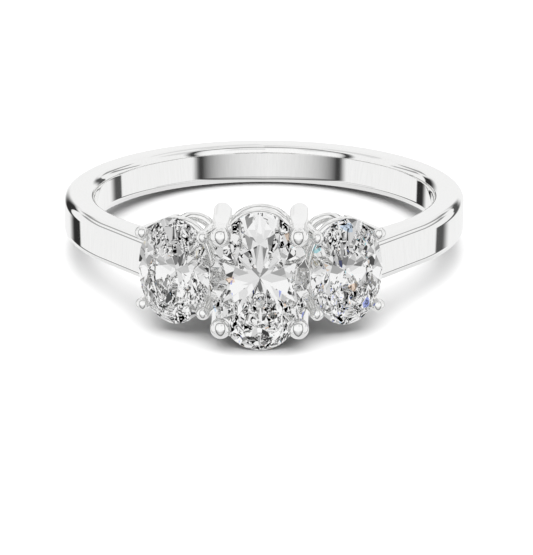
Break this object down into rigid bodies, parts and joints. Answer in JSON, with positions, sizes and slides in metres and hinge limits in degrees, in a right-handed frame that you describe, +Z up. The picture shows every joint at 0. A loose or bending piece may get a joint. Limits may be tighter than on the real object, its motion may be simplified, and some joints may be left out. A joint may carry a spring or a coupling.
{
  "type": "three stone ring",
  "caption": "Polished finger ring: a plain round-edged band with straight shoulders and a row of oval brilliant-cut clear stones in four-prong heads, the middle one larger.",
  "frame": {"origin": "centre of the bounding box at floor level, with the ring lying on its side", "axes": "+Z up, -Y from the finger hole towards the middle stone, +X across the row of stones"},
  "size_m": [0.0194, 0.0226, 0.0065],
  "materials": {
    "white_metal": "mirror polished white gold",
    "clear_stone": "polished facets"
  },
  "bodies": {
    "root": {"setting": "white_metal", "centre_stone": "clear_stone", "left_stone": "clear_stone", "right_stone": "clear_stone"}
  },
  "joints": []
}
